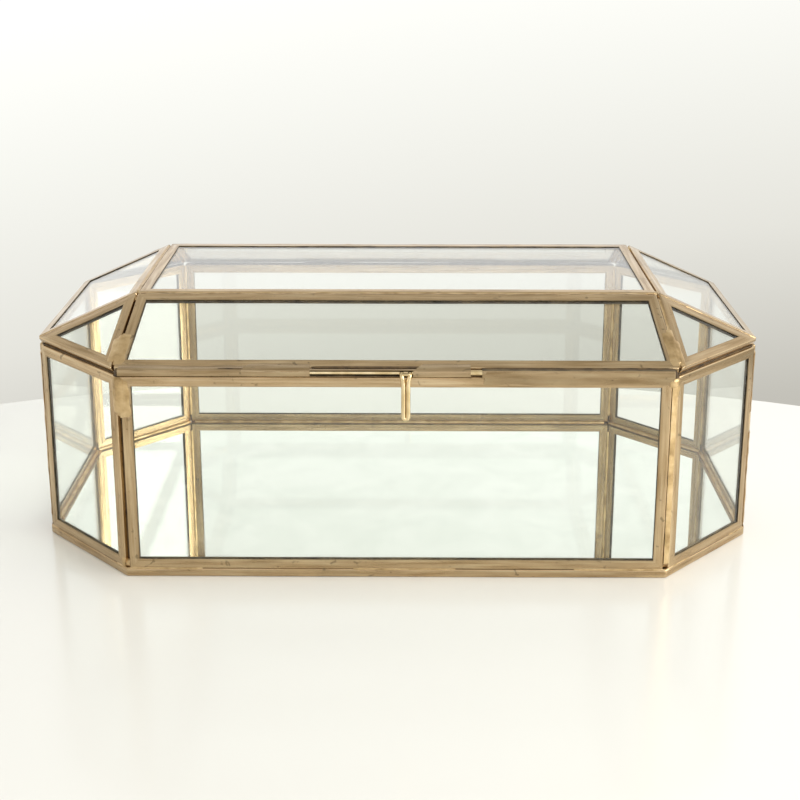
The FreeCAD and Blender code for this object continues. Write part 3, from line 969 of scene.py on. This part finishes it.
def knuckle(name, node, body, leafRun):
    # barrel rolled from sheet, and its leaf; leafRun is the leaf's direction from the pin line
    low, high = [Vector(p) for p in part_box(node)]
    bm = bmesh.new()
    across = [(hingeWork["pin"] + 0.05 * mm, low.x), (hingeWork["knuckle"], low.x),
              (hingeWork["knuckle"], high.x), (hingeWork["pin"] + 0.05 * mm, high.x)]
    ring = [bm.verts.new((x, pinLine.y + r, pinLine.z)) for r, x in across]
    section = [bm.edges.new((ring[k], ring[(k + 1) % 4])) for k in range(4)]
    bmesh.ops.spin(bm, geom=ring + section, cent=pinLine, axis=(1, 0, 0), angle=math.tau, steps=40,
                   use_merge=True)
    rims = [e for e in bm.edges if len(e.link_faces) == 2 and e.calc_face_angle(0) > 1]
    bmesh.ops.bevel(bm, geom=rims, affect="EDGES", offset=0.14 * mm, segments=2, profile=0.5, material=-1)

    # leaf, rounded at its free corners
    along, out, lift, reach = leafRun
    start = pinLine + out * lift
    corners = [Vector((low.x, start.y, start.z)), Vector((high.x, start.y, start.z))]
    corners += [corners[1] + along * reach, corners[0] + along * reach]
    sheet = bm.faces.new([bm.verts.new(c) for c in corners])
    grown = bmesh.ops.extrude_face_region(bm, geom=[sheet])
    bmesh.ops.translate(bm, verts=movedVerts(grown), vec=out * hingeWork["leaf"])
    tips = [e for e in bm.edges if abs((e.verts[0].co - e.verts[1].co).normalized().dot(out)) > 0.999
            and (e.verts[0].co - pinLine).dot(along) > reach * 0.9]
    bmesh.ops.bevel(bm, geom=tips, affect="EDGES", offset=hingeWork["leafCorner"], segments=4, profile=0.5,
                    material=-1)
    bmesh.ops.recalc_face_normals(bm, faces=bm.faces[:])
    rubAlong(bm, Vector((1, 0, 0)), 4 * mm)
    return finishMesh(bm, name, [brass], body, [node], 35)


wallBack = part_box("wall_frame_back")[1].y
trayLeaf = (Vector((0, 0, -1)), Vector((0, -1, 0)), pinLine.y - wallBack - hingeWork["leaf"],
            hingeWork["trayLeafReach"])
backSlope = outwardNormal(lidPanels["back"])
backFoot = lidRing[4] + backSlope * channel
upBack = Vector((0, -backSlope.z, backSlope.y))
toFoot = backFoot - pinLine
lidLeaf = (upBack, backSlope, toFoot.dot(backSlope), toFoot.dot(upBack) + hingeWork["lidLeafReach"])
knuckle("trayKnuckleLeft", "tray_knuckle_left", "tray", trayLeaf)
knuckle("trayKnuckleRight", "tray_knuckle_right", "tray", trayLeaf)
knuckle("lidKnuckle", "lid_knuckle", "lid", lidLeaf)
bm = bmesh.new()
pinStart = pinLow.x + 0.5 * mm
pinRun = pinHigh.x - pinLow.x - 1 * mm
pinPath = [Vector((pinStart + pinRun * k / 12, pinLine.y, pinLine.z)) for k in range(13)]
wireRun(bm, pinPath, hingeWork["pin"], 16)
bmesh.ops.recalc_face_normals(bm, faces=bm.faces[:])
finishMesh(bm, "hingePinWire", [wire], "tray", ["hinge_pin"], 60)
print("hinge made")


# stage, light and camera

studio = {
    "tableRadius": 0.483,
    "tableMiddle": (0.0, -0.350),
    "tableThickness": 0.03,
    "tableColour": "#EFEEE9",
    "room": [(0.0, "#A6A39B"), (0.08, "#B3B1A9"), (0.15, "#D3D2CB"), (0.22, "#E2E2DC"),
             (0.34, "#F8F8F5"), (0.42, "#FFFFFF"), (0.52, "#FFFFFF"), (0.72, "#D0CFCA")],
    "roomStrength": 1.22,
    "lean": 0.16,               # how much darker the room is to the right
}


def paleTable():
    # round table top in pale satin lacquer
    bm = bmesh.new()
    middle = Vector((*studio["tableMiddle"], -studio["tableThickness"] / 2))
    bmesh.ops.create_cone(bm, cap_ends=True, segments=160, radius1=studio["tableRadius"],
                          radius2=studio["tableRadius"], depth=studio["tableThickness"],
                          matrix=Matrix.Translation(middle))
    rim = [e for e in bm.edges if len(e.link_faces) == 2 and e.calc_face_angle() > 1]
    bmesh.ops.bevel(bm, geom=rim, affect="EDGES", offset=2 * mm, segments=3, profile=0.5, material=-1)
    mesh = bpy.data.meshes.new("paleTable")
    bm.to_mesh(mesh)
    bm.free()
    mesh.shade_smooth()
    mesh.set_sharp_from_angle(angle=math.radians(30))
    material, tree = startMaterial("whiteSatinLacquer")
    place = addNode(tree, "TexCoord")
    cloud = addNode(tree, "TexNoise", {"Scale": 9.0, "Detail": 3.0}, {"Vector": place.outputs["Object"]})
    haze = addNode(tree, "MapRange", {"From Min": 0.3, "From Max": 0.7, "To Min": 0.16, "To Max": 0.24},
                   {"Value": cloud.outputs["Fac"]})
    shader = addNode(tree, "BsdfPrincipled", {"Base Color": toLinear(studio["tableColour"])},
                     {"Roughness": haze.outputs["Result"]})
    addNode(tree, "OutputMaterial", links={"Surface": shader.outputs["BSDF"]})
    mesh.materials.append(material)
    table = bpy.data.objects.new("paleTable", mesh)
    bpy.context.scene.collection.objects.link(table)


lampRight = {
    "place": (1.15, -0.65, 0.6),
    "aim": (0, 0, 0.03),
    "width": 1.5,
    "height": 1.0,
    "power": 18.5,              # watts
    "colour": "#FFFEFA",
}


def softLamp(name, place, aim, width, height, power, colour):
    lamp = bpy.data.lights.new(name, "AREA")
    lamp.shape = "RECTANGLE"
    lamp.size = width
    lamp.size_y = height
    lamp.energy = power
    lamp.color = toLinear(colour)[:3]
    holder = bpy.data.objects.new(name, lamp)
    holder.location = place
    holder.rotation_euler = (Vector(aim) - Vector(place)).to_track_quat("-Z", "Y").to_euler()
    bpy.context.scene.collection.objects.link(holder)


def roomLight():
    # pale room all round: grey low down, white overhead, a little darker to the right
    world = bpy.data.worlds.new("paleRoom")
    world.use_nodes = True
    tree = world.node_tree
    tree.nodes.clear()
    place = addNode(tree, "TexCoord")
    split = addNode(tree, "SeparateXYZ", links={"Vector": place.outputs["Generated"]})
    lean = addNode(tree, "Math", {"operation": "MULTIPLY_ADD", 1: -studio["lean"]},
                   {0: split.outputs["X"], 2: split.outputs["Z"]})
    height = addNode(tree, "MapRange", {"From Min": -0.5, "From Max": 1.1},
                     {"Value": lean.outputs["Value"]})
    tone = addNode(tree, "ValToRGB", links={"Fac": height.outputs["Result"]})
    fillRamp(tone, studio["room"])
    sky = addNode(tree, "Background", {"Strength": studio["roomStrength"]},
                  {"Color": tone.outputs["Color"]})
    addNode(tree, "OutputWorld", links={"Surface": sky.outputs["Background"]})
    bpy.context.scene.world = world


shot = {
    "place": (0.0047, -0.5015, 0.2228),
    "pitch": 15.07,             # degrees below level
    "yaw": 0.45,                # degrees to the right
    "lens": 63.15,
    "shift": -0.159,
}


def viewCamera():
    data = bpy.data.cameras.new("camera")
    data.sensor_width = 36
    data.lens = shot["lens"]
    data.shift_y = shot["shift"]
    data.clip_start = 0.01
    holder = bpy.data.objects.new("camera", data)
    holder.location = shot["place"]
    holder.rotation_euler = (math.radians(90 - shot["pitch"]), 0, math.radians(shot["yaw"]))
    bpy.context.scene.collection.objects.link(holder)
    bpy.context.scene.camera = holder


paleTable()
roomLight()
softLamp("windowRight", **lampRight)
viewCamera()
bpy.context.scene.view_settings.view_transform = "Standard"
print("stage, light and camera set")
